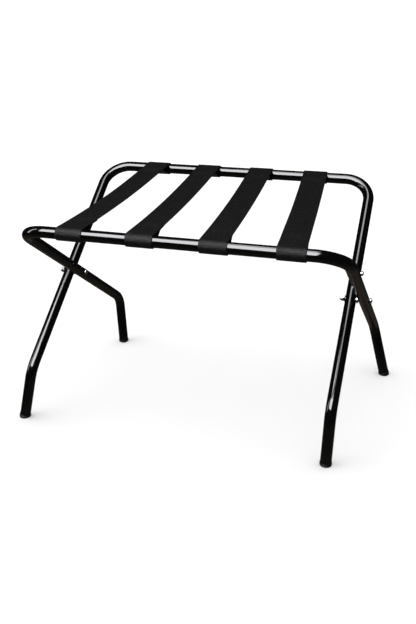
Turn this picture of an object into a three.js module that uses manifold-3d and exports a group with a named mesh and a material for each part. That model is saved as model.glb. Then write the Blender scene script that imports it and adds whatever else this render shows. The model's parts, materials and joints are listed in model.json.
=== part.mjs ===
// Folding luggage rack: two bent tube frames crossed on pivot bolts, with four webbing straps
// looped over the top rails. Units are millimetres, +Z is up and the feet stand on Z = 0.
import * as THREE from "three";
import { mergeVertices } from "three/addons/utils/BufferGeometryUtils.js";
import Module from "manifold-3d";

const wasm = await Module();
wasm.setup();
const { Manifold } = wasm;

// Tube
const tubeDiameter = 22.2;
const tubeWall = 1.2;
const cornerRadius = 56;
const legBendRadius = 46;

// Frame outline, along the tube's centre line
const legSpacing = 613;
const railHeight = 442;
const railReach = 243;
const pivotHeight = 265;
const legBelowPivot = 248;
const footReach = 198;
const outerLegLean = 11;
const outerLegSplay = 31;
const innerLegTuck = 5;

// Pivot hardware
const gap = 0.3;
const boltDiameter = 6;
const boltHeadDiameter = 10.5;
const boltHeadHeight = 4;
const recessWidth = 1.3;
const recessDepth = 1.8;
const washerDiameter = 13;
const washerThickness = 1;
const spacerDiameter = 15;
const spacerThickness = 3.2;
const nutAcrossFlats = 10;
const nutHeight = 5.5;
const nutDomeHeight = 4;

// Stop rivet, one on each frame, above the pivot
const rivetAbovePivot = 62;
const rivetShank = 5;
const rivetHeadDiameter = 10;
const rivetHeadHeight = 5.6;
const rivetTailDiameter = 8;
const rivetTailHeight = 1.8;

// Foot plugs: a stem inside the tube and a flange under its end
const plugLip = 0.8;
const plugFlange = 7;
const plugStem = 18;
const plugEdge = 3;

// Straps
const strapWidth = 52;
const strapThickness = 2;
const strapSag = 6;
const strapCount = 4;
const frontStrapPitch = 137;
const backStrapPitch = 122;
const frontStrapShift = 18;
const backStrapShift = -9;
const strapTailStart = 46;
const strapTailLength = 30;
const strapFlatEnd = 24;

const tubeRadius = tubeDiameter / 2;
const frameOffset = tubeDiameter + spacerThickness + 2 * gap;
const boltHole = boltDiameter / 2 + gap;
const boreRadius = tubeRadius - tubeWall;
const plugRadius = tubeRadius + plugLip;
const loopInside = tubeRadius + gap;
const loopOutside = loopInside + strapThickness;

const paint = { color: 0x0b0b0c, roughness: 0.22, metalness: 0.25 };
const zinc = { color: 0xc9ccd0, roughness: 0.25, metalness: 1 };
const nylon = { color: 0x17171a, roughness: 0.5, metalness: 0 };
const rubber = { color: 0x0e0e0f, roughness: 0.65, metalness: 0 };
const webbing = { color: 0x1d1e1f, roughness: 0.9, metalness: 0 };

const rack = new THREE.Group();

// Booleans: a geometry goes to a solid and back.
function solidFrom(geometry) {
  const bare = new THREE.BufferGeometry();
  const source = geometry.index ? geometry.toNonIndexed() : geometry;
  bare.setAttribute("position", source.getAttribute("position").clone());
  const merged = mergeVertices(bare, 1e-4);
  const mesh = new wasm.Mesh({
    numProp: 3,
    vertProperties: new Float32Array(merged.attributes.position.array),
    triVerts: new Uint32Array(merged.index.array),
  });
  return new Manifold(mesh);
}

function geometryFrom(solid) {
  const mesh = solid.getMesh();
  const geometry = new THREE.BufferGeometry();
  geometry.setAttribute("position", new THREE.BufferAttribute(mesh.vertProperties, 3));
  geometry.setIndex(new THREE.BufferAttribute(mesh.triVerts, 1));
  const faceted = geometry.toNonIndexed();
  faceted.computeVertexNormals();
  return faceted;
}

function addMesh(name, geometry, look) {
  const mesh = new THREE.Mesh(geometry, new THREE.MeshStandardMaterial(look));
  mesh.name = name;
  rack.add(mesh);
  return mesh;
}

// A profile turned about +X: each point is [along X, radius], from the low end to the high end.
function turned(profile, sides = 24) {
  const points = profile.map(([along, radius]) => new THREE.Vector2(radius, along));
  return new THREE.LatheGeometry(points, sides).rotateZ(-Math.PI / 2);
}

// A ring about +X, from x = start to x = start + thickness.
function ring(start, thickness, outside, inside, sides = 24) {
  const end = start + thickness;
  const profile = [
    [start, inside],
    [end, inside],
    [end, outside],
    [start, outside],
    [start, inside],
  ];
  return turned(profile.reverse(), sides);
}

// Points of a dome on a flat of a given radius, from its rim to its top on the axis.
function domeProfile(base, radius, height, lip, steps = 5) {
  const points = [[base + lip, radius]];
  for (let i = 1; i <= steps; i += 1) {
    const angle = (i / steps) * (Math.PI / 2);
    const along = base + lip + (height - lip) * Math.sin(angle);
    points.push([along, i === steps ? 0 : radius * Math.cos(angle)]);
  }
  return points;
}

// The tube's centre line: straight runs joined by arcs, with its stations bunched in the arcs.
class BentLine extends THREE.Curve {
  constructor(corners, radii, arcSteps) {
    super();
    this.stations = [corners[0].clone()];
    this.tangents = [];
    this.arcSteps = arcSteps;
    for (let i = 1; i < corners.length - 1; i += 1) {
      this.addArc(corners[i - 1], corners[i], corners[i + 1], radii[i - 1]);
    }
    const last = corners.length - 1;
    this.stations.push(corners[last].clone());
    this.tangents.push(corners[last].clone().sub(corners[last - 1]).normalize());
  }

  addArc(before, corner, after, radius) {
    const inward = corner.clone().sub(before).normalize();
    const outward = after.clone().sub(corner).normalize();
    const turn = inward.angleTo(outward);
    const setback = radius * Math.tan(turn / 2);
    const side = outward.clone().addScaledVector(inward, -Math.cos(turn)).normalize();
    const start = corner.clone().addScaledVector(inward, -setback);
    if (this.tangents.length === 0) {
      this.tangents.push(inward.clone());
    }
    for (let i = 0; i <= this.arcSteps; i += 1) {
      const angle = (i / this.arcSteps) * turn;
      const point = start.clone().addScaledVector(inward, radius * Math.sin(angle));
      point.addScaledVector(side, radius * (1 - Math.cos(angle)));
      this.stations.push(point);
      const tangent = inward.clone().multiplyScalar(Math.cos(angle));
      this.tangents.push(tangent.addScaledVector(side, Math.sin(angle)));
    }
  }

  stationIndex(u) {
    return Math.round(u * (this.stations.length - 1));
  }

  getPointAt(u) {
    return this.stations[this.stationIndex(u)].clone();
  }

  getTangentAt(u) {
    return this.tangents[this.stationIndex(u)].clone();
  }
}

function sweep(line, radius, sides) {
  const circle = new THREE.Shape();
  circle.absarc(0, 0, radius, 0, 2 * Math.PI, false);
  return new THREE.ExtrudeGeometry(circle, {
    extrudePath: line,
    steps: line.stations.length - 1,
    curveSegments: sides / 2,
  });
}

// Frame A in its own place: its rail is at the front, its feet are at the back, and its outer
// leg is on the +X side, leaning out from the rail to its bend. Each leg's x is the one at the
// pivot. Frame B is the same frame turned half a turn about Z.
const legSlope = Math.atan2(railHeight - pivotHeight, railReach);
const legAbovePivot = Math.hypot(railHeight - pivotHeight, railReach);
const leanRate = outerLegLean / (legAbovePivot + legBelowPivot);
const pivotSpacing = legSpacing + leanRate * legAbovePivot;
const innerLeg = { x: (frameOffset - pivotSpacing) / 2, lean: 0 };
const outerLeg = { x: (frameOffset + pivotSpacing) / 2, lean: leanRate };

function alongLeg(leg, distance) {
  const y = distance * Math.cos(legSlope);
  const z = pivotHeight - distance * Math.sin(legSlope);
  return new THREE.Vector3(leg.x + leg.lean * distance, y, z);
}

function legEnds(leg, splay) {
  const bend = alongLeg(leg, legBelowPivot);
  const ground = new THREE.Vector3(bend.x + splay, footReach, 0);
  const down = ground.clone().sub(bend).normalize();
  const foot = ground.clone().addScaledVector(down, plugFlange / down.z);
  return { bend, foot, ground, down };
}

const innerEnds = legEnds(innerLeg, innerLegTuck);
const outerEnds = legEnds(outerLeg, outerLegSplay);

function frameLine(extra) {
  const corners = [
    innerEnds.foot.clone().addScaledVector(innerEnds.down, extra),
    innerEnds.bend,
    alongLeg(innerLeg, -legAbovePivot),
    alongLeg(outerLeg, -legAbovePivot),
    outerEnds.bend,
    outerEnds.foot.clone().addScaledVector(outerEnds.down, extra),
  ];
  return new BentLine(corners, [legBendRadius, cornerRadius, cornerRadius, legBendRadius], 8);
}

// A drill through a leg, along X.
function drill(leg, distance, radius) {
  const place = alongLeg(leg, distance);
  const bit = new THREE.CylinderGeometry(radius, radius, 2 * tubeDiameter, 24);
  bit.rotateZ(Math.PI / 2).translate(place.x, place.y, place.z);
  return solidFrom(bit);
}

function frameGeometry() {
  const outside = solidFrom(sweep(frameLine(0), tubeRadius, 24));
  const cuts = [
    solidFrom(sweep(frameLine(2), boreRadius, 24)),
    drill(innerLeg, 0, boltHole),
    drill(outerLeg, 0, boltHole),
    drill(innerLeg, -rivetAbovePivot, rivetShank / 2 + gap),
  ];
  return geometryFrom(outside.subtract(Manifold.union(cuts)));
}

function halfTurn(geometry) {
  return geometry.clone().rotateZ(Math.PI);
}

function addFrames() {
  const frame = frameGeometry();
  addMesh("frame_front_rail", frame, paint);
  addMesh("frame_back_rail", halfTurn(frame), paint);
}

// A plug turned about the leg's axis, cut flat where it stands on the floor.
function plugGeometry({ foot, down }) {
  const tilt = Math.acos(-down.z);
  const tip = plugFlange + plugRadius * Math.tan(tilt);
  const stem = boreRadius - gap;
  const profile = [
    [tip, 0],
    [tip, plugRadius - plugEdge],
  ];
  for (let i = 1; i <= 4; i += 1) {
    const angle = (i / 4) * (Math.PI / 2);
    const along = tip - plugEdge * (1 - Math.cos(angle));
    profile.push([along, plugRadius - plugEdge * (1 - Math.sin(angle))]);
  }
  profile.push([gap, plugRadius], [gap, stem], [1 - plugStem, stem], [-plugStem, stem - 1]);
  profile.push([-plugStem, 0]);
  const plug = turned(profile.reverse(), 24);
  const toLeg = new THREE.Quaternion().setFromUnitVectors(new THREE.Vector3(1, 0, 0), down);
  plug.applyQuaternion(toLeg).translate(foot.x, foot.y, foot.z);
  return geometryFrom(solidFrom(plug).trimByPlane([0, 0, 1], 0));
}

function addPlugs() {
  const inner = plugGeometry(innerEnds);
  const outer = plugGeometry(outerEnds);
  addMesh("foot_plug_back_left", inner, rubber);
  addMesh("foot_plug_back_right", outer, rubber);
  addMesh("foot_plug_front_right", halfTurn(inner), rubber);
  addMesh("foot_plug_front_left", halfTurn(outer), rubber);
}

// Pivot hardware on one side, about the X axis through the pivot. Frame A's leg is at legA and
// frame B's leg is one frame offset towards -X.
function addPivot(side, legA) {
  const legB = legA - frameOffset;
  const headWasher = legA + tubeRadius + gap;
  const head = headWasher + washerThickness + gap;
  const nutWasher = legB - tubeRadius - gap - washerThickness;
  const nut = nutWasher - gap;
  const tip = nut - nutHeight + gap;
  const shank = boltDiameter / 2;
  const profile = [
    [tip, 0],
    [tip, shank],
    [head, shank],
    [head, boltHeadDiameter / 2],
    ...domeProfile(head, boltHeadDiameter / 2, boltHeadHeight, 0.8),
  ];
  const bolt = solidFrom(turned(profile));
  const slots = [0, 1].map((turn) => {
    const slot = new THREE.BoxGeometry(2 * recessDepth, recessWidth, boltHeadDiameter * 0.55);
    slot.rotateX((turn * Math.PI) / 2).translate(head + boltHeadHeight, 0, 0);
    return solidFrom(slot);
  });
  const boltGeometry = geometryFrom(bolt.subtract(Manifold.union(slots)));
  const pieces = {
    [`pivot_bolt_${side}`]: [boltGeometry, zinc],
    [`pivot_washer_head_${side}`]: [
      ring(headWasher, washerThickness, washerDiameter / 2, boltHole),
      nylon,
    ],
    [`pivot_spacer_${side}`]: [
      ring(legA - tubeRadius - gap - spacerThickness, spacerThickness, spacerDiameter / 2, boltHole),
      zinc,
    ],
    [`pivot_washer_nut_${side}`]: [
      ring(nutWasher, washerThickness, washerDiameter / 2, boltHole),
      nylon,
    ],
    [`pivot_nut_${side}`]: [capNut(nut), zinc],
  };
  for (const [name, [geometry, look]] of Object.entries(pieces)) {
    addMesh(name, geometry.translate(0, 0, pivotHeight), look);
  }
}

// A domed cap nut that faces -X, with its seat at x = seat.
function capNut(seat) {
  const corner = nutAcrossFlats / 2 / Math.cos(Math.PI / 6);
  const hex = new THREE.CylinderGeometry(corner, corner, nutHeight, 6);
  hex.rotateZ(Math.PI / 2).translate(seat - nutHeight / 2, 0, 0);
  const rim = seat - nutHeight;
  const domeRadius = nutAcrossFlats * 0.46;
  const dome = [[rim + 1, 0], [rim + 1, domeRadius]];
  for (const [along, radius] of domeProfile(0, domeRadius, nutDomeHeight, 0.4)) {
    dome.push([rim - along, radius]);
  }
  const bore = new THREE.CylinderGeometry(boltHole, boltHole, nutHeight + 1, 24);
  bore.rotateZ(Math.PI / 2).translate(seat - nutHeight / 2 + 0.5, 0, 0);
  const body = solidFrom(hex).add(solidFrom(turned(dome.reverse())));
  return geometryFrom(body.subtract(solidFrom(bore)));
}

// A stop rivet through frame A's inner leg. Its tall head faces frame B's leg on the -X side.
function rivetGeometry() {
  const place = alongLeg(innerLeg, -rivetAbovePivot);
  const seat = tubeRadius + gap;
  const profile = [
    ...domeProfile(seat, rivetHeadDiameter / 2, rivetHeadHeight, 2.4).reverse(),
    [seat, rivetHeadDiameter / 2],
    [seat, rivetShank / 2],
    [-seat, rivetShank / 2],
    [-seat, rivetTailDiameter / 2],
    ...domeProfile(seat, rivetTailDiameter / 2, rivetTailHeight, 0.5).map(([a, r]) => [-a, r]),
  ];
  const rivet = turned(profile.reverse());
  return rivet.rotateZ(Math.PI).translate(place.x, place.y, place.z);
}

function addRivets() {
  const rivet = rivetGeometry();
  addMesh("stop_rivet_left", rivet, zinc);
  addMesh("stop_rivet_right", halfTurn(rivet), zinc);
}

// Strap sections are drawn in the YZ plane and pushed out along X.
function pushed(shape) {
  const solid = new THREE.ExtrudeGeometry(shape, {
    depth: strapWidth,
    bevelEnabled: false,
    curveSegments: 16,
  });
  solid.translate(0, 0, -strapWidth / 2);
  const axes = new THREE.Matrix4().makeBasis(
    new THREE.Vector3(0, 1, 0),
    new THREE.Vector3(0, 0, 1),
    new THREE.Vector3(1, 0, 0),
  );
  return solidFrom(solid.applyMatrix4(axes));
}

// How far the span hangs below its ends, at a distance y from the pivot plane.
function spanDrop(y) {
  const reach = railReach - strapFlatEnd;
  const share = Math.min(Math.abs(y) / reach, 1);
  return strapSag * (1 - share * share);
}

// A band between two heights measured from the rail's centre, following the span's sag.
function band(from, to, below, above) {
  const steps = Math.max(2, Math.round(Math.abs(to - from) / 24));
  const lower = [];
  const upper = [];
  for (let i = 0; i <= steps; i += 1) {
    const y = from + ((to - from) * i) / steps;
    const base = railHeight - spanDrop(y);
    lower.push(new THREE.Vector2(y, base + below));
    upper.unshift(new THREE.Vector2(y, base + above));
  }
  return pushed(new THREE.Shape([...lower, ...upper]));
}

// The loop round the front rail: round the tube, then straight up to the span's underside.
function loopOutline(radius, height) {
  const lean = 2 * Math.atan2(loopInside, strapTailStart) - Math.PI / 2;
  const slope = Math.tan(lean + Math.PI / 2);
  const startY = radius * Math.cos(lean);
  const startZ = radius * Math.sin(lean);
  const apexY = startY + (height - startZ) / slope;
  const points = [new THREE.Vector2(apexY, height)];
  const turn = 2 * Math.PI - (Math.PI / 2 - lean);
  const steps = 14;
  for (let i = 0; i <= steps; i += 1) {
    const angle = Math.PI / 2 + (turn * i) / steps;
    points.push(new THREE.Vector2(radius * Math.cos(angle), radius * Math.sin(angle)));
  }
  return points.map((p) => new THREE.Vector2(p.x - railReach, p.y + railHeight));
}

function frontLoop() {
  const shape = new THREE.Shape(loopOutline(loopOutside, loopOutside));
  shape.holes.push(new THREE.Path(loopOutline(loopInside, loopInside)));
  return pushed(shape);
}

function strapSection() {
  const loop = frontLoop();
  const tailEnd = strapTailStart + strapTailLength;
  const tail = band(
    tailEnd - railReach,
    strapTailStart - railReach - 2,
    loopInside - strapThickness,
    loopInside + 0.4,
  );
  const ends = Manifold.union([loop, tail]);
  const span = band(-railReach, railReach, loopInside, loopOutside);
  return Manifold.union([span, ends, ends.mirror([0, 1, 0])]);
}

function addStraps() {
  const section = strapSection();
  for (let i = 0; i < strapCount; i += 1) {
    const step = i - (strapCount - 1) / 2;
    const front = frontStrapShift + step * frontStrapPitch;
    const back = backStrapShift + step * backStrapPitch;
    const lean = (back - front) / (2 * railReach);
    const skew = new THREE.Matrix4().set(
      1, lean, 0, (front + back) / 2,
      0, 1, 0, 0,
      0, 0, 1, 0,
      0, 0, 0, 1,
    );
    addMesh(`strap_${i + 1}`, geometryFrom(section).applyMatrix4(skew), webbing);
  }
}

addFrames();
addPlugs();
addPivot("left", innerLeg.x);
addPivot("right", outerLeg.x);
addRivets();
addStraps();

export default rack;
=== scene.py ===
import json
import math

import bmesh
import bpy
import numpy as np
from mathutils import Matrix, Vector


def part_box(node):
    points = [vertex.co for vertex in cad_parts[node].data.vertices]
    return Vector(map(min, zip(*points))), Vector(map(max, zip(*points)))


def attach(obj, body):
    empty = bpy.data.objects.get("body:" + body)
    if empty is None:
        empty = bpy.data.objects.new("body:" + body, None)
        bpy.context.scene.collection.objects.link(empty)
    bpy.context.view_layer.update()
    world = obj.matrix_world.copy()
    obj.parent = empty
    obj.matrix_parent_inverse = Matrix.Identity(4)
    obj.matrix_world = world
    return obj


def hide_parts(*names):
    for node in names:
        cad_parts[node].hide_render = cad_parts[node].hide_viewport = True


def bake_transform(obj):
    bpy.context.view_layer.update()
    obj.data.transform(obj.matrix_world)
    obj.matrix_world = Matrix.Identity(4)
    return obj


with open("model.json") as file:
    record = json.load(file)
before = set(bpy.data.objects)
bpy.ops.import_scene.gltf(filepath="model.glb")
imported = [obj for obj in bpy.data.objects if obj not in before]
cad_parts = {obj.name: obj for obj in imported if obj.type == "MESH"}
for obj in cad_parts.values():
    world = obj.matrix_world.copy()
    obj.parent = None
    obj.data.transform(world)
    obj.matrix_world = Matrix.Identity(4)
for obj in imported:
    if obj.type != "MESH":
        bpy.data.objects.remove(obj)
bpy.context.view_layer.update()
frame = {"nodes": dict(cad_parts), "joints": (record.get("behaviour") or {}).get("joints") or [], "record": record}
print("frame loaded:", len(frame["nodes"]), "nodes")

up = Vector((0, 0, 1))
pivot = Vector(frame["joints"][0]["pos_m"])
feet = {m["name"]: Vector(m["pos_m"]) for m in frame["record"]["mounts"]}


def smoothBy(mesh, sharp):
    mesh.shade_smooth()
    mesh.set_sharp_from_angle(angle=math.radians(sharp))


def makeObject(name, mesh, material, sharp):
    obj = bpy.data.objects.new(name, mesh)
    bpy.context.scene.collection.objects.link(obj)
    mesh.materials.append(material)
    if sharp is not None:
        smoothBy(mesh, sharp)
    return obj


def meshFrom(name, points, faces):
    mesh = bpy.data.meshes.new(name)
    mesh.from_pydata([tuple(p) for p in points], [], faces)
    mesh.update()
    work = bmesh.new()
    work.from_mesh(mesh)
    bmesh.ops.remove_doubles(work, verts=work.verts, dist=1e-7)
    bmesh.ops.recalc_face_normals(work, faces=work.faces)
    work.to_mesh(mesh)
    work.free()
    return mesh


def ringFaces(rings, sides, closed=False):
    # Quads between rings of points that follow each other in one list
    faces = []
    last = rings if closed else rings - 1
    for i in range(last):
        a, b = i * sides, ((i + 1) % rings) * sides
        for j in range(sides):
            k = (j + 1) % sides
            faces.append((a + j, a + k, b + k, b + j))
    return faces


def turned(name, profile, origin, axis, sides=48, corner=None):
    # A profile of (along, radius) turned about an axis; corner limits the radius by angle
    axis = Vector(axis).normalized()
    side = axis.cross(up if abs(axis.z) < 0.9 else Vector((0, 1, 0))).normalized()
    other = axis.cross(side)
    rings = len(profile)
    points = []
    for along, radius in profile:
        for j in range(sides):
            turn = 2 * math.pi * j / sides
            reach = radius if corner is None else min(radius, corner(turn))
            way = side * math.cos(turn) + other * math.sin(turn)
            points.append(Vector(origin) + axis * along + way * reach)
    faces = ringFaces(rings, sides)
    if profile[0] != profile[-1]:
        if profile[0][1] > 1e-6:
            faces.append(tuple(range(sides)))
        if profile[-1][1] > 1e-6:
            faces.append(tuple(range((rings - 1) * sides, rings * sides)))
    return meshFrom(name, points, faces)


def dome(start, height, radius, steps):
    # A quarter of an oval from a rim up to the axis, without the rim's own point
    profile = []
    for i in range(1, steps):
        angle = (i / steps) * math.pi / 2
        profile.append((start + height * math.sin(angle), radius * math.cos(angle)))
    profile.append((start + height, 0.0))
    return profile


def roundedRing(start, end, outside, inside, bevel, steps=4):
    # The outline of a washer or a spacer with eased edges, closed on itself
    outline = []
    corners = [(start, outside, 1, -1), (end, outside, -1, -1), (end, inside, -1, 1), (start, inside, 1, 1)]
    for along, radius, inX, inR in corners:
        cx, cr = along + inX * bevel, radius + inR * bevel
        base = math.atan2(-inR, -inX)
        for i in range(steps + 1):
            angle = base + math.pi / 4 - (math.pi / 2) * i / steps
            outline.append((cx + bevel * math.cos(angle), cr + bevel * math.sin(angle)))
    outline.append(outline[0])
    return outline


def bentPath(corners, radii, arcSteps, extras):
    # Straight runs joined by arcs: points and tangents, with extra stations near the holes
    points, tangents = [corners[0]], [(corners[1] - corners[0]).normalized()]
    for i in range(1, len(corners) - 1):
        into = (corners[i] - corners[i - 1]).normalized()
        out = (corners[i + 1] - corners[i]).normalized()
        turn = into.angle(out)
        setback = radii[i - 1] * math.tan(turn / 2)
        start = corners[i] - into * setback
        begin = points[-1]
        runLength = (start - begin).length
        runs = {0.5 * runLength}
        for spot in extras:
            along = (spot - begin).dot(into)
            off = (spot - begin - into * along).length
            if off < 1e-3 and 0 < along < runLength:
                runs |= {along + shift for shift in (-0.008, -0.0055, 0.0055, 0.008)}
        for step in sorted(runs):
            points.append(begin + into * step)
            tangents.append(into)
        side = (out - into * into.dot(out)).normalized()
        for k in range(arcSteps + 1):
            angle = turn * k / arcSteps
            ahead, aside = radii[i - 1] * math.sin(angle), radii[i - 1] * (1 - math.cos(angle))
            points.append(start + into * ahead + side * aside)
            tangents.append(into * math.cos(angle) + side * math.sin(angle))
    points.append(corners[-1])
    tangents.append((corners[-1] - corners[-2]).normalized())
    return points, tangents


def tubeRings(points, tangents, radius, sides):
    # Rings of points round a path, carried along it without twisting
    normal = tangents[0].cross(Vector((1, 0, 0))).normalized()
    rings = []
    for point, tangent in zip(points, tangents):
        normal = (normal - tangent * normal.dot(tangent)).normalized()
        other = tangent.cross(normal)
        for j in range(sides):
            turn = 2 * math.pi * j / sides
            rings.append(point + (normal * math.cos(turn) + other * math.sin(turn)) * radius)
    return rings


def cutWith(obj, cutters):
    for cutter in cutters:
        cut = obj.modifiers.new("cut", "BOOLEAN")
        cut.operation = "DIFFERENCE"
        cut.solver = "EXACT"
        cut.object = cutter
    bpy.context.view_layer.update()
    done = bpy.data.meshes.new_from_object(obj.evaluated_get(bpy.context.evaluated_depsgraph_get()))
    obj.modifiers.clear()
    obj.data = done
    for cutter in cutters:
        bpy.data.objects.remove(cutter)


def finishPiece(obj, body, node):
    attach(obj, body)
    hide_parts(node)


def halfTurned(name, obj):
    # The same piece turned half a turn, for the other frame
    twin = bpy.data.objects.new(name, obj.data.copy())
    bpy.context.scene.collection.objects.link(twin)
    twin.data.transform(Matrix.Rotation(math.pi, 4, "Z"))
    return twin


# Shader node groups shared by the materials


def newGroup(name, inputs, outputs):
    group = bpy.data.node_groups.new(name, "ShaderNodeTree")
    for label, kind, value in inputs:
        socket = group.interface.new_socket(label, in_out="INPUT", socket_type="NodeSocket" + kind)
        if value is not None:
            socket.default_value = value
    for label, kind in outputs:
        group.interface.new_socket(label, in_out="OUTPUT", socket_type="NodeSocket" + kind)
    start = group.nodes.new("NodeGroupInput")
    end = group.nodes.new("NodeGroupOutput")
    return group, start, end


def addNode(tree, kind, values=None, **settings):
    node = tree.nodes.new("ShaderNode" + kind)
    for key, value in settings.items():
        setattr(node, key, value)
    for key, value in (values or {}).items():
        node.inputs[key].default_value = value
    return node


def doMath(tree, operation, a, b=None, clamp=False):
    node = addNode(tree, "Math", operation=operation, use_clamp=clamp)
    for i, value in enumerate((a, b)):
        if value is None:
            continue
        if isinstance(value, (int, float)):
            node.inputs[i].default_value = value
        else:
            tree.links.new(value, node.inputs[i])
    return node.outputs[0]


def noiseAt(tree, vector, scale, detail=3.0, rough=0.55):
    node = addNode(tree, "TexNoise", {"Detail": detail, "Roughness": rough})
    tree.links.new(vector, node.inputs["Vector"])
    if isinstance(scale, (int, float)):
        node.inputs["Scale"].default_value = scale
    else:
        tree.links.new(scale, node.inputs["Scale"])
    return node.outputs["Fac"]


def spread(tree, value, low, high, toLow, toHigh):
    node = addNode(tree, "MapRange", {"From Min": low, "From Max": high, "To Min": toLow, "To Max": toHigh})
    tree.links.new(value, node.inputs["Value"])
    return node.outputs["Result"]


def buildMottle():
    # Two noises over each other: a soft cloudy tone and finer specks, from 0 to 1
    group, start, end = newGroup(
        "mottle",
        [("Place", "Vector", None), ("Cloud Scale", "Float", 8.0), ("Speck Scale", "Float", 400.0)],
        [("Cloud", "Float"), ("Speck", "Float")],
    )
    cloud = noiseAt(group, start.outputs["Place"], start.outputs["Cloud Scale"], 4.0)
    speck = noiseAt(group, start.outputs["Place"], start.outputs["Speck Scale"], 2.0)
    group.links.new(spread(group, cloud, 0.3, 0.7, 0.0, 1.0), end.inputs["Cloud"])
    group.links.new(spread(group, speck, 0.35, 0.65, 0.0, 1.0), end.inputs["Speck"])
    return group


def buildSkin():
    # The low waves of a sprayed or moulded surface with a fine grain on them, as a height
    group, start, end = newGroup(
        "surfaceSkin",
        [("Place", "Vector", None), ("Wave Scale", "Float", 300.0), ("Grain Scale", "Float", 3000.0),
         ("Grain Share", "Float", 0.3)],
        [("Height", "Float")],
    )
    wave = noiseAt(group, start.outputs["Place"], start.outputs["Wave Scale"], 1.0)
    grain = noiseAt(group, start.outputs["Place"], start.outputs["Grain Scale"], 2.0)
    share = doMath(group, "MULTIPLY", grain, start.outputs["Grain Share"])
    group.links.new(doMath(group, "ADD", wave, share), end.inputs["Height"])
    return group


def buildWear():
    # Rubbed edges: where the surface turns sharply, broken up by noise
    group, start, end = newGroup(
        "edgeRub",
        [("Place", "Vector", None), ("Break Scale", "Float", 600.0), ("Amount", "Float", 0.5)],
        [("Mask", "Float")],
    )
    shape = addNode(group, "NewGeometry")
    edge = spread(group, shape.outputs["Pointiness"], 0.53, 0.62, 0.0, 1.0)
    patches = noiseAt(group, start.outputs["Place"], start.outputs["Break Scale"], 3.0)
    broken = spread(group, patches, 0.42, 0.6, 0.0, 1.0)
    rub = doMath(group, "MULTIPLY", edge, broken, True)
    group.links.new(doMath(group, "MULTIPLY", rub, start.outputs["Amount"], True), end.inputs["Mask"])
    return group


def buildWeave():
    # Flat webbing: warp yarns side by side, each ducking under the weft half a step after its neighbour
    group, start, end = newGroup(
        "webbingWeave",
        [("Across", "Float", 0.0), ("Along", "Float", 0.0), ("Yarn Width", "Float", 0.0012),
         ("Yarn Step", "Float", 0.0022)],
        [("Height", "Float"), ("Hollow Shade", "Float")],
    )
    column = doMath(group, "DIVIDE", start.outputs["Across"], start.outputs["Yarn Width"])
    number = doMath(group, "FLOOR", column)
    within = doMath(group, "FRACT", column)
    odd = doMath(group, "FRACT", doMath(group, "MULTIPLY", number, 0.5))
    row = doMath(group, "DIVIDE", start.outputs["Along"], start.outputs["Yarn Step"])
    bead = doMath(group, "FRACT", doMath(group, "ADD", row, odd))
    crown = []
    for value in (within, bead):
        centred = doMath(group, "SUBTRACT", doMath(group, "MULTIPLY", value, 2.0), 1.0)
        fall = doMath(group, "POWER", doMath(group, "ABSOLUTE", centred), 2.5)
        crown.append(doMath(group, "SUBTRACT", 1.0, fall))
    height = doMath(group, "MULTIPLY", crown[0], crown[1])
    group.links.new(height, end.inputs["Height"])
    # Where the yarns dip this mask rises; it is used to paint shade into the weave's hollows
    group.links.new(spread(group, height, 0.0, 0.35, 1.0, 0.0), end.inputs["Hollow Shade"])
    return group


mottle, skin, wear, weave = buildMottle(), buildSkin(), buildWear(), buildWeave()
print("node groups built")


def startMaterial(name):
    material = bpy.data.materials.new(name)
    material.use_nodes = True
    tree = material.node_tree
    tree.nodes.clear()
    surface = addNode(tree, "BsdfPrincipled")
    output = addNode(tree, "OutputMaterial")
    tree.links.new(surface.outputs[0], output.inputs["Surface"])
    place = addNode(tree, "TexCoord").outputs["Object"]
    return material, tree, surface, place


def socketLabel(key):
    # cloudScale becomes Cloud Scale
    label = "".join(" " + c if c.isupper() else c for c in key).title()
    return label.replace("Ior", "IOR")


def useGroup(tree, group, place=None, **values):
    node = tree.nodes.new("ShaderNodeGroup")
    node.node_tree = group
    if place is not None:
        tree.links.new(place, node.inputs["Place"])
    for key, value in values.items():
        node.inputs[socketLabel(key)].default_value = value
    return node


def toneBetween(tree, factor, dark, light):
    node = addNode(tree, "Mix", data_type="RGBA")
    tree.links.new(factor, node.inputs["Factor"])
    node.inputs["A"].default_value = (*dark, 1)
    node.inputs["B"].default_value = (*light, 1)
    return node.outputs["Result"]


def colourOver(tree, surface, base, mask, tone):
    # The base colour, and another tone over it where the mask is
    node = addNode(tree, "Mix", data_type="RGBA")
    tree.links.new(mask, node.inputs["Factor"])
    tree.links.new(base, node.inputs["A"])
    node.inputs["B"].default_value = (*tone, 1)
    tree.links.new(node.outputs["Result"], surface.inputs["Base Color"])


def roughBy(tree, surface, value, low, high, toLow, toHigh):
    tree.links.new(spread(tree, value, low, high, toLow, toHigh), surface.inputs["Roughness"])


def addBump(tree, surface, height, strength, distance):
    bump = addNode(tree, "Bump", {"Strength": strength, "Distance": distance})
    tree.links.new(height, bump.inputs["Height"])
    tree.links.new(bump.outputs["Normal"], surface.inputs["Normal"])


def setSurface(surface, **values):
    for key, value in values.items():
        surface.inputs[socketLabel(key)].default_value = value


paintLook = {
    "darkTone": (0.0009, 0.0009, 0.001),
    "lightTone": (0.0019, 0.0018, 0.0017),
    "rubbedTone": (0.03, 0.029, 0.028),
    "roughness": (0.09, 0.13),
    "waveScale": 140.0,
    "bumpDepth": 0.00001,
}


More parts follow.
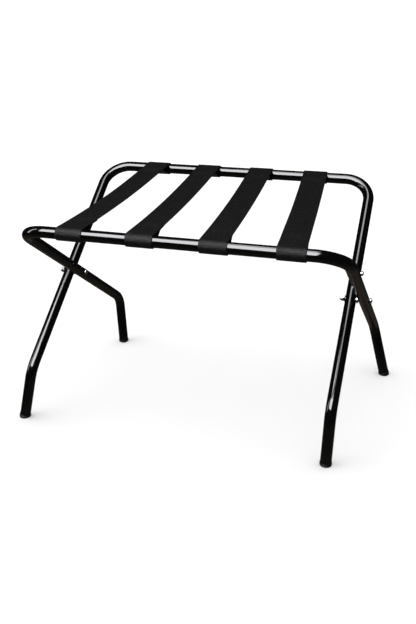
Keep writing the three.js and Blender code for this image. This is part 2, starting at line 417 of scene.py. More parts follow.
def buildPaint():
    look = paintLook
    material, tree, surface, place = startMaterial("glossBlackPaint")
    tone = useGroup(tree, mottle, place, cloudScale=9.0, speckScale=900.0)
    rub = useGroup(tree, wear, place, breakScale=700.0, amount=0.35)
    base = toneBetween(tree, tone.outputs["Cloud"], look["darkTone"], look["lightTone"])
    colourOver(tree, surface, base, rub.outputs["Mask"], look["rubbedTone"])
    roughBy(tree, surface, tone.outputs["Speck"], 0.0, 1.0, *look["roughness"])
    film = useGroup(tree, skin, place, waveScale=look["waveScale"], grainScale=2400.0, grainShare=0.12)
    addBump(tree, surface, film.outputs["Height"], 0.35, look["bumpDepth"])
    setSurface(surface, specularIorLevel=0.5, metallic=0.0, ior=1.5)
    return material


zincLook = {"bright": (0.80, 0.80, 0.79), "dull": (0.56, 0.56, 0.57), "roughness": (0.16, 0.32)}


def buildZinc():
    look = zincLook
    material, tree, surface, place = startMaterial("brightZinc")
    tone = useGroup(tree, mottle, place, cloudScale=350.0, speckScale=4000.0)
    base = toneBetween(tree, tone.outputs["Cloud"], look["dull"], look["bright"])
    tree.links.new(base, surface.inputs["Base Color"])
    roughBy(tree, surface, tone.outputs["Speck"], 0.0, 1.0, *look["roughness"])
    film = useGroup(tree, skin, place, waveScale=900.0, grainScale=6000.0, grainShare=0.4)
    addBump(tree, surface, film.outputs["Height"], 0.3, 0.00003)
    setSurface(surface, metallic=1.0)
    return material


rubberLook = {
    "darkTone": (0.002, 0.002, 0.0021),
    "lightTone": (0.0045, 0.0044, 0.0043),
    "dust": (0.015, 0.0145, 0.014),
    "roughness": (0.3, 0.42),
}


def buildRubber(name, dusty):
    look = rubberLook
    material, tree, surface, place = startMaterial(name)
    tone = useGroup(tree, mottle, place, cloudScale=60.0, speckScale=1800.0)
    rub = useGroup(tree, wear, place, breakScale=900.0, amount=dusty)
    base = toneBetween(tree, tone.outputs["Cloud"], look["darkTone"], look["lightTone"])
    colourOver(tree, surface, base, rub.outputs["Mask"], look["dust"])
    roughBy(tree, surface, tone.outputs["Speck"], 0.0, 1.0, *look["roughness"])
    film = useGroup(tree, skin, place, waveScale=1200.0, grainScale=5200.0, grainShare=0.8)
    addBump(tree, surface, film.outputs["Height"], 0.5, 0.00006)
    setSurface(surface, specularIorLevel=0.3)
    return material


webbingLook = {
    # Painted shade: the darker tone laid into the weave's hollows between yarns
    "hollowShadeTone": (0.0008, 0.00085, 0.0009),
    "yarnDark": (0.0018, 0.0019, 0.002),
    "yarnLight": (0.0042, 0.0044, 0.0045),
    "yarnWidth": 0.0012,
    "yarnStep": 0.0023,
    "roughness": (0.54, 0.3),
    "fuzzShare": 0.35,
    "speckShare": 1.5,
    "bumpDepth": 0.0003,
}


def buildWebbing():
    look = webbingLook
    material, tree, surface = startMaterial("wovenWebbing")[:3]
    spot = addNode(tree, "Attribute", attribute_type="GEOMETRY", attribute_name="clothPlace")
    parts = addNode(tree, "SeparateXYZ")
    tree.links.new(spot.outputs["Vector"], parts.inputs[0])
    cloth = useGroup(tree, weave, yarnWidth=look["yarnWidth"], yarnStep=look["yarnStep"])
    tree.links.new(parts.outputs["X"], cloth.inputs["Across"])
    tree.links.new(parts.outputs["Y"], cloth.inputs["Along"])
    tone = useGroup(tree, mottle, spot.outputs["Vector"], cloudScale=45.0, speckScale=260.0)
    both = doMath(tree, "ADD", doMath(tree, "MULTIPLY", tone.outputs["Cloud"], 0.4),
                  doMath(tree, "MULTIPLY", tone.outputs["Speck"], 0.6), True)
    yarn = toneBetween(tree, both, look["yarnDark"], look["yarnLight"])
    # Painted shade: the yarn colour is darkened to the hollow tone where the weave dips
    colourOver(tree, surface, yarn, cloth.outputs["Hollow Shade"], look["hollowShadeTone"])
    roughBy(tree, surface, tone.outputs["Speck"], 0.3, 0.7, *look["roughness"])
    fuzz = doMath(tree, "MULTIPLY", noiseAt(tree, spot.outputs["Vector"], 5000.0, 2.0), look["fuzzShare"])
    lumps = doMath(tree, "MULTIPLY", tone.outputs["Speck"], look["speckShare"])
    height = doMath(tree, "ADD", cloth.outputs["Height"], doMath(tree, "ADD", fuzz, lumps))
    addBump(tree, surface, height, 0.7, look["bumpDepth"])
    setSurface(surface, sheenWeight=0.015, sheenRoughness=0.5, specularIorLevel=0.13)
    surface.inputs["Sheen Tint"].default_value = (0.9, 0.93, 0.95, 1)
    return material


threadLook = {
    "darkTone": (0.002, 0.0021, 0.0022),
    "lightTone": (0.005, 0.0052, 0.0054),
    "roughness": (0.45, 0.6),
}


def buildThread():
    look = threadLook
    material, tree, surface, place = startMaterial("sewingThread")
    tone = useGroup(tree, mottle, place, cloudScale=300.0, speckScale=5000.0)
    base = toneBetween(tree, tone.outputs["Speck"], look["darkTone"], look["lightTone"])
    tree.links.new(base, surface.inputs["Base Color"])
    ply = noiseAt(tree, place, 6000.0, 2.0)
    addBump(tree, surface, ply, 0.5, 0.0001)
    roughBy(tree, surface, tone.outputs["Cloud"], 0.0, 1.0, *look["roughness"])
    setSurface(surface, specularIorLevel=0.15)
    return material


paint, zinc = buildPaint(), buildZinc()
rubber, nylon = buildRubber("footRubber", 0.25), buildRubber("nylonWasher", 0.15)
webbing, thread = buildWebbing(), buildThread()
print("materials built")


# Tube frames: the front rail's frame has its feet at the back, and the other is the same turned half a turn
tubeSpec = {
    "radius": 0.0111,
    "wall": 0.0012,
    "cornerRadius": 0.056,
    "bendRadius": 0.046,
    "belowPivot": 0.248,
    "outerLean": 0.011,
    "plugFlange": 0.007,
    "rivetAbovePivot": 0.062,
    "sides": 56,
    "arcSteps": 22,
    "clearance": 0.0003,
    "brokenEdge": 0.0003,
    "boltBore": 0.0033,
    "rivetBore": 0.0028,
}


def legPoint(x, lean, distance):
    return Vector((x + lean * distance, distance * legWay.y, pivot.z + distance * legWay.z))


def footEnd(x, lean, ground):
    bend = legPoint(x, lean, tubeSpec["belowPivot"])
    down = (ground - bend).normalized()
    return bend, ground + down * (tubeSpec["plugFlange"] / down.z), down


low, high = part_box("frame_front_rail")
railY = low.y + tubeSpec["radius"]
railZ = high.z - tubeSpec["radius"]
toRail = Vector((0, railY, railZ - pivot.z))
legWay = -toRail.normalized()  # from the rail down through the pivot
abovePivot = toRail.length
headSeat = tubeSpec["radius"] + tubeSpec["clearance"]
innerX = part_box("pivot_washer_head_left")[0].x - headSeat
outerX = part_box("pivot_washer_head_right")[0].x - headSeat
outerLean = tubeSpec["outerLean"] / (abovePivot + tubeSpec["belowPivot"])
innerBend, innerFoot, innerDown = footEnd(innerX, 0, feet["foot_back_left"])
outerBend, outerFoot, outerDown = footEnd(outerX, outerLean, feet["foot_back_right"])
rivetSpot = legPoint(innerX, 0, -tubeSpec["rivetAbovePivot"])


def buildTube(name, holes):
    spec = tubeSpec
    tops = [legPoint(innerX, 0, -abovePivot), legPoint(outerX, outerLean, -abovePivot)]
    corners = [innerFoot, innerBend, *tops, outerBend, outerFoot]
    radii = [spec["bendRadius"], spec["cornerRadius"], spec["cornerRadius"], spec["bendRadius"]]
    points, tangents = bentPath(corners, radii, spec["arcSteps"], [spot for spot, size in holes])
    sides, edge = spec["sides"], spec["brokenEdge"]
    outer = tubeRings(points, tangents, spec["radius"], sides)
    inner = tubeRings(points, tangents, spec["radius"] - spec["wall"], sides)
    first = tubeRings(points[:1], tangents[:1], spec["radius"] - edge, sides)
    last = tubeRings(points, tangents, spec["radius"] - edge, sides)[-sides:]
    for j in range(sides):  # the cut ends are lightly broken
        outer[j] = outer[j] + tangents[0] * edge
        outer[j - sides] = outer[j - sides] - tangents[-1] * edge
    innerBack = []
    for i in reversed(range(len(points))):
        innerBack += inner[i * sides:(i + 1) * sides]
    mesh = meshFrom(name, first + outer + last + innerBack, ringFaces(2 * len(points) + 2, sides, True))
    tube = makeObject(name, mesh, paint, None)
    for spot, size in holes:
        bit = turned("drillBit", [(-0.02, size), (0.02, size)], spot, (1, 0, 0), 40)
        cutWith(tube, [makeObject("drillBit", bit, paint, None)])
    smoothBy(tube.data, 38)
    return tube


boltHoles = [(legPoint(x, lean, 0), tubeSpec["boltBore"]) for x, lean in ((innerX, 0), (outerX, outerLean))]
frontTube = buildTube("front_tube", boltHoles + [(rivetSpot, tubeSpec["rivetBore"])])
backTube = halfTurned("back_tube", frontTube)
finishPiece(frontTube, "front_frame", "frame_front_rail")
finishPiece(backTube, "back_frame", "frame_back_rail")
print("tube frames built")


# Foot plugs: a flange with a groove round it, cut level at the floor, and a ribbed stem inside the tube
plugSpec = {
    "lip": 0.0008,
    "stem": 0.018,
    "fit": 0.0003,
    "leadIn": 0.0015,
    "ribs": 4,
    "ribPitch": 0.0038,
    "rib": ((0.0, 0.0008), (0.0012, 0.0), (0.002, 0.0), (0.003, 0.0008)),
    "seat": 0.0003,
    "waist": 0.0008,
    "flangeEdge": ((0.0003, 0.0006), (0.0006, 0.0001), (0.0010, 0.0)),
    "groove": ((0.0022, 0.0), (0.0025, 0.00035), (0.0029, 0.00035), (0.0032, 0.0)),
    "round": 0.003,
    "roundSteps": 8,
    "soleRings": (0.62, 0.6, 0.42, 0.4, 0.0),
    "soleInsets": ((0, 0.0022, 0.0), (9, 0.0008, -0.0009)),
}


def buildPlug(name, end, down):
    # The rib, flange edge and groove are pairs of a place along the plug and a depth below its radius
    spec = plugSpec
    radius = tubeSpec["radius"] + spec["lip"]
    bore = tubeSpec["radius"] - tubeSpec["wall"] - spec["fit"]
    tilt = math.acos(-down.z)
    tip = tubeSpec["plugFlange"] + radius * math.tan(tilt)
    profile = [(-spec["stem"], 0.0), (-spec["stem"], bore - spec["leadIn"])]
    for i in range(spec["ribs"]):
        at = -spec["stem"] + spec["leadIn"] + i * spec["ribPitch"]
        profile += [(at + along, bore - depth) for along, depth in spec["rib"]]
    profile.append((spec["seat"], bore - spec["waist"]))
    profile += [(along, radius - depth) for along, depth in spec["flangeEdge"] + spec["groove"]]
    for i in range(spec["roundSteps"] + 1):
        angle = (i / spec["roundSteps"]) * math.pi / 2
        back, inward = spec["round"] * (1 - math.sin(angle)), spec["round"] * (1 - math.cos(angle))
        profile.append((tip - back, radius - inward))
    profile += [(tip, radius * share) for share in spec["soleRings"]]
    mesh = turned(name, profile, end, down, 56)
    work = bmesh.new()
    work.from_mesh(mesh)
    whole = work.verts[:] + work.edges[:] + work.faces[:]
    cut = bmesh.ops.bisect_plane(work, geom=whole, plane_co=(0, 0, 0), plane_no=(0, 0, -1), clear_outer=True)
    rim = [e for e in cut["geom_cut"] if isinstance(e, bmesh.types.BMEdge)]
    bmesh.ops.contextual_create(work, geom=rim)
    bmesh.ops.recalc_face_normals(work, faces=work.faces)
    for corners, thickness, depth in spec["soleInsets"]:
        level = [f for f in work.faces if abs(f.calc_center_median().z) < 1e-6 and f.normal.z < -0.9]
        sole = [f for f in level if len(f.verts) >= corners]
        bmesh.ops.inset_region(work, faces=sole, thickness=thickness, depth=depth)
    work.to_mesh(mesh)
    work.free()
    return makeObject(name, mesh, rubber, 32)


backLeftPlug = buildPlug("plug_back_left", innerFoot, innerDown)
backRightPlug = buildPlug("plug_back_right", outerFoot, outerDown)
frontRightPlug = halfTurned("plug_front_right", backLeftPlug)
frontLeftPlug = halfTurned("plug_front_left", backRightPlug)
finishPiece(backLeftPlug, "front_frame", "foot_plug_back_left")
finishPiece(backRightPlug, "front_frame", "foot_plug_back_right")
finishPiece(frontRightPlug, "back_frame", "foot_plug_front_right")
finishPiece(frontLeftPlug, "back_frame", "foot_plug_front_left")
print("foot plugs built")


# Pivot hardware, about the X axis through the pivot
boltSpec = {
    "shank": 0.003,
    "tipChamfer": 0.0006,
    "threadFrom": 0.0012,
    "threadTo": 0.0055,
    "threadPitch": 0.001,
    "threadDepth": 0.0004,
    "threadSpacing": 1.05,
    "headHeight": 0.004,
    "headEdge": 0.0003,
    "lip": 0.0008,
    "recessReach": 0.52,
    "recessWidth": 0.0013,
    "recessDepth": 0.0019,
    "recessStep": 0.00002,
    "recessOver": 0.0008,
    "weld": 0.000003,
}


def recessCutter(top, half, turn):
    # One arm of the cross recess, narrower at its bottom; the second is deeper, so no two floors coincide
    spec = boltSpec
    width, deep = spec["recessWidth"] / 2, spec["recessDepth"] + spec["recessStep"] * turn
    ends = ((spec["recessOver"], half * 1.15, width * 1.15), (-deep, half * 0.45, width * 0.75))
    points = []
    for depth, reach, wide in ends:
        for sy, sz in ((-1, -1), (1, -1), (1, 1), (-1, 1)):
            y, z = sy * reach, sz * wide
            if turn:
                y, z = z, y
            points.append((top + depth, pivot.y + y, pivot.z + z))
    faces = [(0, 1, 2, 3), (7, 6, 5, 4), (0, 4, 5, 1), (1, 5, 6, 2), (2, 6, 7, 3), (3, 7, 4, 0)]
    return makeObject("recess", meshFrom("recess", points, faces), zinc, None)


def buildBolt(side):
    spec = boltSpec
    lowest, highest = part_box("pivot_bolt_" + side)
    headRadius = (highest.z - lowest.z) / 2
    seat = highest.x - spec["headHeight"]
    shank, chamfer, edge, lip = (spec[k] for k in ("shank", "tipChamfer", "headEdge", "lip"))
    pitch = spec["threadPitch"]
    profile = [(lowest.x, 0.0), (lowest.x, shank - chamfer), (lowest.x + chamfer, shank)]
    at = lowest.x + spec["threadFrom"]
    while at < lowest.x + spec["threadTo"]:  # thread turns near the tip, drawn as grooves
        profile += [(at, shank), (at + pitch / 2, shank - spec["threadDepth"]), (at + pitch, shank)]
        at += pitch * spec["threadSpacing"]
    profile += [(seat, shank), (seat, headRadius - edge), (seat + edge, headRadius), (seat + lip, headRadius)]
    profile += dome(seat + lip, spec["headHeight"] - lip, headRadius, 10)
    mesh = turned("bolt_" + side, profile, (0, pivot.y, pivot.z), (1, 0, 0))
    bolt = makeObject("bolt_" + side, mesh, zinc, 32)
    top, half = highest.x + 0.0002, headRadius * spec["recessReach"]
    cutWith(bolt, [recessCutter(top, half, turn) for turn in (0, 1)])
    work = bmesh.new()
    work.from_mesh(bolt.data)
    bmesh.ops.remove_doubles(work, verts=work.verts, dist=spec["weld"])
    bmesh.ops.dissolve_degenerate(work, edges=work.edges, dist=spec["weld"])
    work.to_mesh(bolt.data)
    work.free()
    smoothBy(bolt.data, 32)
    finishPiece(bolt, "front_frame", "pivot_bolt_" + side)


def buildRing(name, node, material, bevel):
    lowest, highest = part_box(node)
    outline = roundedRing(lowest.x, highest.x, (highest.z - lowest.z) / 2, tubeSpec["boltBore"], bevel)
    ring = makeObject(name, turned(name, outline, (0, pivot.y, pivot.z), (1, 0, 0)), material, 40)
    finishPiece(ring, "front_frame", node)


nutSpec = {
    "height": 0.0055,
    "acrossFlats": 0.01,
    "chamfer": 0.0007,
    "mouth": 0.0002,
    "domeShare": 0.92,
    "domeStep": 0.0005,
    "domeHeight": 0.004,
    "boreStop": 0.0006,
}


def buildNut(side):
    spec = nutSpec
    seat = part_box("pivot_nut_" + side)[1].x
    flat, rim, chamfer, step = spec["acrossFlats"] / 2, spec["height"], spec["chamfer"], spec["domeStep"]

    def hexagon(turn):
        sector = (turn + math.pi / 6) % (math.pi / 3) - math.pi / 6
        return flat / math.cos(sector)

    bore, boreEnd = tubeSpec["boltBore"], rim - spec["boreStop"]
    domeRadius = flat * spec["domeShare"]
    wide = flat / math.cos(math.pi / 6) + 0.0002  # past the corners, so the hexagon sets the shape
    profile = [(boreEnd, 0.0), (boreEnd, bore), (spec["mouth"], bore), (0.0, bore + 0.0003), (0.0, flat)]
    profile += [(chamfer, wide), (rim - chamfer, wide), (rim, flat)]
    profile += [(rim + 0.0001, domeRadius), (rim + step, domeRadius)]
    profile += dome(rim + step, spec["domeHeight"] - step, domeRadius, 10)
    mesh = turned("nut_" + side, profile, (seat, pivot.y, pivot.z), (-1, 0, 0), 72, hexagon)
    nut = makeObject("nut_" + side, mesh, zinc, 30)
    finishPiece(nut, "front_frame", "pivot_nut_" + side)


for side in ("left", "right"):
    buildBolt(side)
    buildRing("washer_head_" + side, "pivot_washer_head_" + side, nylon, 0.00035)
    buildRing("spacer_" + side, "pivot_spacer_" + side, zinc, 0.0005)
    buildRing("washer_nut_" + side, "pivot_washer_nut_" + side, nylon, 0.00035)
    buildNut(side)


# Stop rivets: a tall head on the side of the other frame's leg and a clenched tail
rivetSpec = {
    "shank": 0.0025,
    "headRadius": 0.005,
    "headLip": 0.0024,
    "headEdge": 0.0004,
    "tailRadius": 0.004,
    "tailHeight": 0.0018,
    "tailEdge": 0.0003,
    "tailLip": 0.0005,
}


def buildRivet():
    spec = rivetSpec
    seat, shank, head, tail = headSeat, spec["shank"], spec["headRadius"], spec["tailRadius"]
    headEdge, tailEdge, headLip, tailLip = (spec[k] for k in ("headEdge", "tailEdge", "headLip", "tailLip"))
    headTop = rivetSpot.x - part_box("stop_rivet_left")[0].x
    profile = dome(seat + headLip, headTop - seat - headLip, head, 10)[::-1]
    profile += [(seat + headLip, head), (seat + headEdge, head), (seat, head - headEdge), (seat, shank)]
    profile += [(-seat, shank), (-seat, tail - tailEdge), (-seat - tailEdge, tail)]
    profile += dome(-seat - tailLip, tailLip - spec["tailHeight"], tail, 8)
    mesh = turned("rivet_left", profile, rivetSpot, (-1, 0, 0))
    rivet = makeObject("rivet_left", mesh, zinc, 34)
    mesh.materials.append(paint)
    for face in mesh.polygons:  # the tail was sprayed with the frame
        face.material_index = 1 if face.center.x > rivetSpot.x else 0
    return rivet


leftRivet = buildRivet()
rightRivet = halfTurned("rivet_right", leftRivet)
finishPiece(leftRivet, "front_frame", "stop_rivet_left")
finishPiece(rightRivet, "back_frame", "stop_rivet_right")
print("pivot hardware built")


# Straps: one length of webbing looped round both rails and sewn to itself
strapSpec = {
    "thickness": 0.0019,
    "sag": 0.0075,
    "cup": 0.0007,
    "tailStart": 0.046,
    "tailEnd": 0.07,
    "tubeGap": 0.0003,
    "layerGap": 0.0001,
    "tailSteps": 15,
    "riseSteps": 25,
    "wrapSteps": 32,
    "spanSteps": 96,
    "easings": 10,
    "acrossSteps": 18,
    "edgeSteps": 4,
    "wander": 0.0004,
    "tilt": 0.0006,
    "narrowing": 0.07,
    "narrowSteps": 38,
    "groove": 0.12,
    "grooveInset": 0.0032,
    "grooveWidth": 0.0009,
    "blendInset": 0.012,
}
stitchSpec = {
    "length": 0.0025,
    "pitch": 0.0034,
    "radius": 0.00024,
    "inset": 0.0055,
    "nearInset": 0.004,
    "farInset": 0.003,
    "steps": 6,
    "sides": 6,
}


def strapHalf(reach):
    # From the tail's end to the rail's top, as (distance in from the rail, height over its centre)
    spec = strapSpec
    loop = tubeSpec["radius"] + spec["tubeGap"] + spec["thickness"] / 2
    layer = spec["thickness"] + spec["layerGap"]
    lean = 2 * math.atan2(loop, spec["tailStart"]) - math.pi / 2
    tangent = Vector((loop * math.cos(lean), loop * math.sin(lean)))
    path = []
    for i in range(spec["tailSteps"] + 1):
        inward = spec["tailEnd"] + (spec["tailStart"] - spec["tailEnd"]) * i / spec["tailSteps"]
        path.append(Vector((inward, loop - layer - sagAt(reach - inward, reach))))
    knee = path[-1]
    for i in range(1, spec["riseSteps"]):
        path.append(knee.lerp(tangent, i / spec["riseSteps"]))
    eased = [p.copy() for p in path]
    for turn in range(spec["easings"]):
        for i in range(1, len(path) - 2):
            eased[i] = (path[i - 1] + path[i] * 2 + path[i + 1]) / 4
        path = [p.copy() for p in eased]
    sweepAngle = lean + 1.5 * math.pi
    for i in range(spec["wrapSteps"] + 1):
        angle = lean - sweepAngle * i / spec["wrapSteps"]
        path.append(Vector((loop * math.cos(angle), loop * math.sin(angle))))
    return path, loop


def sagAt(y, reach):
    return strapSpec["sag"] * (1 - min(abs(y) / reach, 1) ** 2)


def strapPath():
    reach = -railY
    half, loop = strapHalf(reach)
    front = [Vector((0, railY + p.x, railZ + p.y)) for p in half]
    back = [Vector((0, -railY - p.x, railZ + p.y)) for p in reversed(half)]
    span = []
    steps = strapSpec["spanSteps"]
    for i in range(1, steps):
        y = railY + 2 * reach * i / steps
        span.append(Vector((0, y, railZ + loop - sagAt(y, reach))))
    return front + span + back


def smoothNoise(seed, steps):
    rng = np.random.default_rng(seed)
    knots = rng.uniform(-1, 1, 9)
    at = np.linspace(0, 8, steps)
    low = np.clip(at.astype(int), 0, 7)
    share = at - low
    share = share * share * (3 - 2 * share)
    return knots[low] * (1 - share) + knots[low + 1] * share


def strapSurface(path, front, back, seed):
    # Stations with their place, normal and share of sag, before the section is put round them
    spec = strapSpec
    stations = []
    count = len(path)
    wave, tilt = smoothNoise(seed, count), smoothNoise(seed + 50, count)
    along = 0.0
    for i, point in enumerate(path):
        before, after = path[max(i - 1, 0)], path[min(i + 1, count - 1)]
        tangent = (after - before).normalized()
        normal = Vector((1, 0, 0)).cross(tangent)
        if i:
            along += (point - path[i - 1]).length
        share = 1 - min(abs(point.y) / -railY, 1) ** 2
        middle = (front + back) / 2 + (back - front) * point.y / (-2 * railY)
        toEnd = min(i, count - 1 - i) / spec["narrowSteps"]
        stations.append({
            "point": point + Vector((middle + spec["wander"] * wave[i] * share, 0, 0)),
            "normal": normal,
            "share": share,
            "tilt": spec["tilt"] * tilt[i] * share,
            "along": along,
            "narrow": 1 - spec["narrowing"] * max(0.0, 1 - toEnd) ** 0.5,
        })
    return stations


def onStrap(station, across, width, side):
    # A point on the webbing's face, side 1 for the outer face and -1 for the inner one
    spec = strapSpec
    across = across * station["narrow"]
    edge = abs(across) / (width / 2)
    fromGroove = ((width / 2 - abs(across)) - spec["grooveInset"]) / spec["grooveWidth"]
    half = spec["thickness"] / 2 * (1 - spec["groove"] * math.exp(-fromGroove ** 2))
    bowed = spec["cup"] * station["share"] * (edge ** 2) + station["tilt"] * across / (width / 2)
    return station["point"] + Vector((across, 0, 0)) + station["normal"] * (side * half + bowed)


def buildStrap(number, front, back):
    spec = strapSpec
    name = "strap_" + str(number)
    lowest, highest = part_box(name)
    width = (highest.x - lowest.x) - abs(back - front) * (highest.y - lowest.y) / (-2 * railY)
    path = strapPath()
    stations = strapSurface(path, front, back, 10 * number)
    half = spec["thickness"] / 2
    section = []
    acrossSteps, edgeSteps = spec["acrossSteps"], spec["edgeSteps"]
    inner = width / 2 - half
    for i in range(acrossSteps + 1):
        section.append((-inner + 2 * inner * i / acrossSteps, 1, None))
    for i in range(1, edgeSteps):
        angle = math.pi / 2 - math.pi * i / edgeSteps
        section.append((inner, 0, angle))
    for i in range(acrossSteps + 1):
        section.append((inner - 2 * inner * i / acrossSteps, -1, None))
    for i in range(1, edgeSteps):
        angle = -math.pi / 2 - math.pi * i / edgeSteps
        section.append((-inner, 0, angle))
    points, places = [], []
    for station in stations:
        for across, side, angle in section:
            if angle is None:
                points.append(onStrap(station, across, width, side))
                places.append((across, station["along"], side * half))
            else:
                centre = onStrap(station, across, width, 0)
                push = Vector((math.cos(angle), 0, 0)) + station["normal"] * math.sin(angle)
                points.append(centre + push * half)
                places.append((across + math.cos(angle) * half, station["along"], math.sin(angle) * half))
    sides = len(section)
    rings = len(stations)
    faces = ringFaces(rings, sides)
    faces.append(tuple(range(sides)))
    faces.append(tuple(range((rings - 1) * sides, rings * sides)))
    mesh = bpy.data.meshes.new("webbing_" + str(number))
    mesh.from_pydata([tuple(p) for p in points], [], faces)
    spot = mesh.attributes.new("clothPlace", "FLOAT_VECTOR", "POINT")
    spot.data.foreach_set("vector", np.array(places, np.float32).ravel())
    mesh.update()
    work = bmesh.new()
    work.from_mesh(mesh)
    bmesh.ops.recalc_face_normals(work, faces=work.faces)
    work.to_mesh(mesh)
    work.free()
    strap = makeObject("webbing_" + str(number), mesh, webbing, 60)
    length = stations[-1]["along"]
    seam = buildStitches(number, stations, width)
    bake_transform(strap)
    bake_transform(seam)
    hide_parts(name)
    return length


def stationAt(stations, y, layer):
    # The span's or the tail's station at a place along the rack, between two modelled ones
    count, wrapped, tail = len(stations), len(strapHalf(-railY)[0]), strapSpec["tailSteps"]
    if layer == "span":
        picks = range(wrapped - 1, count - wrapped)
    elif y < 0:
        picks = range(tail + 1)
    else:
        picks = range(count - tail - 2, count - 1)
    for i in picks:
        a, b = stations[i], stations[i + 1]
        ya, yb = a["point"].y, b["point"].y
        if (ya - y) * (yb - y) <= 0 and ya != yb:
            share = (y - ya) / (yb - ya)
            return {
                "point": a["point"].lerp(b["point"], share),
                "normal": a["normal"].lerp(b["normal"], share).normalized(),
                "share": a["share"] * (1 - share) + b["share"] * share,
                "tilt": a["tilt"] * (1 - share) + b["tilt"] * share,
                "narrow": a["narrow"],
            }


def buildStitches(number, stations, width):
    # A sewn box with a cross in it through the overlap at each rail, on its upper and lower faces
    spec = stitchSpec
    left, right = -width / 2 + spec["inset"], width / 2 - spec["inset"]
    near, far = strapSpec["tailStart"] + spec["nearInset"], strapSpec["tailEnd"] - spec["farInset"]
    lines = [((left, near), (right, near)), ((left, far), (right, far)), ((left, near), (left, far)),
             ((right, near), (right, far)), ((left, near), (right, far)), ((left, far), (right, near))]
    points, faces = [], []
    for sign in (-1, 1):
        for layer in ("span", "tail"):
            for (xa, ya), (xb, yb) in lines:
                run = math.hypot(xb - xa, yb - ya)
                count = max(3, round(run / spec["pitch"]))
                for k in range(count):
                    ends = []
                    for share in ((k + 0.5) / count - 0.5 * spec["length"] / run,
                                  (k + 0.5) / count + 0.5 * spec["length"] / run):
                        x, inward = xa + (xb - xa) * share, ya + (yb - ya) * share
                        station = stationAt(stations, sign * (-railY - inward), layer)
                        way = 1 if layer == "span" else faceDown(station)
                        ends.append((onStrap(station, x, width, way), station["normal"] * way))
                    addStitch(points, faces, ends, spec["radius"])
    mesh = meshFrom("stitches_" + str(number), points, faces)
    return makeObject("stitches_" + str(number), mesh, thread, 60)


def faceDown(station):
    return 1 if station["normal"].z < 0 else -1


def addStitch(points, faces, ends, radius):
    # A short thread bowed out of the cloth, thick in the middle and diving in at its ends
    (a, outA), (b, outB) = ends
    out = ((outA + outB) / 2).normalized()
    way = (b - a).normalized()
    side = way.cross(out)
    base = len(points)
    steps, sides = stitchSpec["steps"], stitchSpec["sides"]
    for i in range(steps + 1):
        share = i / steps
        lift = math.sin(math.pi * share)
        centre = a.lerp(b, share) + out * radius * (1.5 * lift - 0.9)
        size = radius * (0.55 + 0.45 * lift)
        for j in range(sides):
            turn = 2 * math.pi * j / sides
            points.append(centre + (side * math.cos(turn) + out * math.sin(turn)) * size)
    for i in range(steps):
        for j in range(sides):
            k = (j + 1) % sides
            row, following = base + i * sides, base + (i + 1) * sides
            faces.append((row + j, row + k, following + k, following + j))
    faces.append(tuple(base + j for j in range(sides)))
    faces.append(tuple(base + steps * sides + j for j in reversed(range(sides))))


def strapPlaces(number):
    # The strap's middle at each rail, from the corners of its CAD solid
    node = frame["nodes"]["strap_" + str(number)]
    found = []
    for sign in (-1, 1):
        xs = [v.co.x for v in node.data.vertices if abs(v.co.y - sign * -railY) < 0.003]
        found.append((min(xs) + max(xs)) / 2)
    return found


for number in (1, 2, 3, 4):
    length = buildStrap(number, *strapPlaces(number))
    print("strap", number, "built,", round(length, 3), "m of webbing")


# Floor, lights and camera
floorSpec = {"size": 150.0, "darkTone": (0.79, 0.79, 0.79), "lightTone": (0.81, 0.81, 0.81)}


def buildFloor():
    size = floorSpec["size"]
    corners = [(-size, -size, 0), (size, -size, 0), (size, size, 0), (-size, size, 0)]
    mesh = meshFrom("floor", corners, [(0, 1, 2, 3)])
    material, tree, surface, place = startMaterial("paleFloor")
    tone = useGroup(tree, mottle, place, cloudScale=0.6, speckScale=3.0)
    base = toneBetween(tree, tone.outputs["Cloud"], floorSpec["darkTone"], floorSpec["lightTone"])
    tree.links.new(base, surface.inputs["Base Color"])
    setSurface(surface, roughness=0.9, specularIorLevel=0.0)
    floor = makeObject("floor", mesh, material, None)
    floor.visible_glossy = False


softBoxTint = (0.98, 0.965, 1.0)
softBoxes = {
    "frontBox": {
        "target": (-0.1, 0, 0.4),
        "azimuth": -17,
        "elevation": 50,
        "distance": 2.4,
        "size": (2.1, 2.15),
        "power": 240,
    },
    "topBox": {
        "target": (-0.1, 0, 0.4),
        "azimuth": -17,
        "elevation": 87,
        "distance": 2.2,
        "size": (1.0, 1.0),
        "power": 26,
    },
    "leftStrip": {
        "target": (0, 0, 0.3),
        "azimuth": -75,
        "elevation": 20,
        "distance": 2.4,
        "size": (0.3, 2.0),
        "power": 16,
    },
}


def addSoftBox(name, spec):
    # Seen only as a reflection
    light = bpy.data.lights.new(name, "AREA")
    light.shape = "RECTANGLE"
    light.size, light.size_y = spec["size"]
    light.energy = spec["power"]
    light.color = softBoxTint
    obj = bpy.data.objects.new(name, light)
    turn, rise = math.radians(spec["azimuth"]), math.radians(spec["elevation"])
    way = Vector((math.sin(turn) * math.cos(rise), -math.cos(turn) * math.cos(rise), math.sin(rise)))
    obj.location = Vector(spec["target"]) + way * spec["distance"]
    obj.rotation_euler = way.to_track_quat("Z", "Y").to_euler()
    obj.visible_diffuse = False
    obj.visible_camera = False
    bpy.context.scene.collection.objects.link(obj)


sunSpec = {"energy": 0.8, "spreadAngle": 55, "towards": (-0.75, -0.25, 0.8)}


def addSun():
    light = bpy.data.lights.new("roomLight", "SUN")
    light.energy = sunSpec["energy"]
    light.angle = math.radians(sunSpec["spreadAngle"])
    obj = bpy.data.objects.new("roomLight", light)
    obj.rotation_euler = Vector(sunSpec["towards"]).to_track_quat("Z", "Y").to_euler()
    obj.visible_glossy = False
    bpy.context.scene.collection.objects.link(obj)


worldSpec = {
    "airStrength": 1.28,
    "roomTone": (0.012, 0.012, 0.014),
    "floorTone": (0.062, 0.053, 0.042),
    "floorFrom": -0.42,
    "floorTo": -0.56,
}


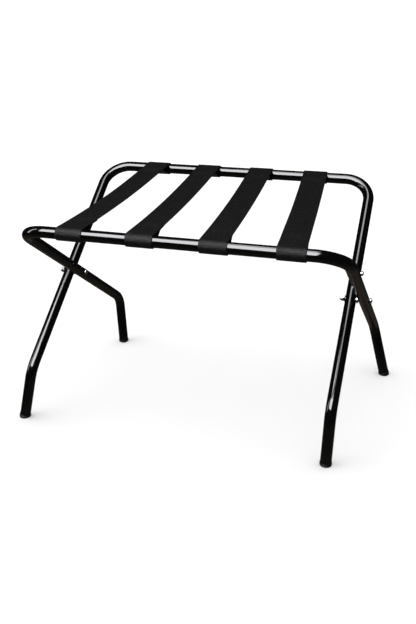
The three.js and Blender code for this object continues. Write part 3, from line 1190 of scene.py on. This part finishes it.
def buildWorld():
    # White air for the scene and its shadows; glossy surfaces see a dark room over a dim floor
    spec = worldSpec
    world = bpy.data.worlds.new("studioAir")
    world.use_nodes = True
    tree = world.node_tree
    tree.nodes.clear()
    rays = tree.nodes.new("ShaderNodeLightPath")
    air = tree.nodes.new("ShaderNodeBackground")
    room = tree.nodes.new("ShaderNodeBackground")
    air.inputs["Color"].default_value = (1, 1, 1, 1)
    air.inputs["Strength"].default_value = spec["airStrength"]
    parts = addNode(tree, "SeparateXYZ")
    tree.links.new(addNode(tree, "TexCoord").outputs["Generated"], parts.inputs[0])
    low = spread(tree, parts.outputs["Z"], spec["floorFrom"], spec["floorTo"], 0.0, 1.0)
    tone = toneBetween(tree, low, spec["roomTone"], spec["floorTone"])
    tree.links.new(tone, room.inputs["Color"])
    mix = tree.nodes.new("ShaderNodeMixShader")
    output = tree.nodes.new("ShaderNodeOutputWorld")
    tree.links.new(rays.outputs["Is Glossy Ray"], mix.inputs[0])
    tree.links.new(air.outputs[0], mix.inputs[1])
    tree.links.new(room.outputs[0], mix.inputs[2])
    tree.links.new(mix.outputs[0], output.inputs["Surface"])
    bpy.context.scene.world = world


cameraSpec = {
    "place": (0.4808, -1.5307, 0.9304),
    "azimuth": 19.193,
    "elevation": 24.655,
    "roll": -1.715,
    "lens": 71.371,
    "shiftX": 0.05204,
    "shiftY": 0.00899,
}


def buildCamera():
    spec = cameraSpec
    turn, rise, roll = (math.radians(spec[k]) for k in ("azimuth", "elevation", "roll"))
    ahead = Vector((-math.sin(turn) * math.cos(rise), math.cos(turn) * math.cos(rise), -math.sin(rise)))
    right = Vector((math.cos(turn), math.sin(turn), 0))
    top = right.cross(ahead)
    tiltedRight = right * math.cos(roll) + top * math.sin(roll)
    tiltedTop = top * math.cos(roll) - right * math.sin(roll)
    camera = bpy.data.cameras.new("camera")
    camera.sensor_fit = "HORIZONTAL"
    camera.sensor_width = 36
    camera.lens = spec["lens"]
    camera.shift_x, camera.shift_y = spec["shiftX"], spec["shiftY"]
    camera.clip_end = 100
    obj = bpy.data.objects.new("camera", camera)
    columns = (tiltedRight, tiltedTop, -ahead, spec["place"])
    obj.matrix_world = Matrix([[column[r] for column in columns] for r in range(3)] + [[0, 0, 0, 1]])
    bpy.context.scene.collection.objects.link(obj)
    bpy.context.scene.camera = obj


buildFloor()
buildWorld()
for name, spec in softBoxes.items():
    addSoftBox(name, spec)
addSun()
buildCamera()
bpy.context.scene.view_settings.view_transform = "Standard"
print("stage, lights and camera set")
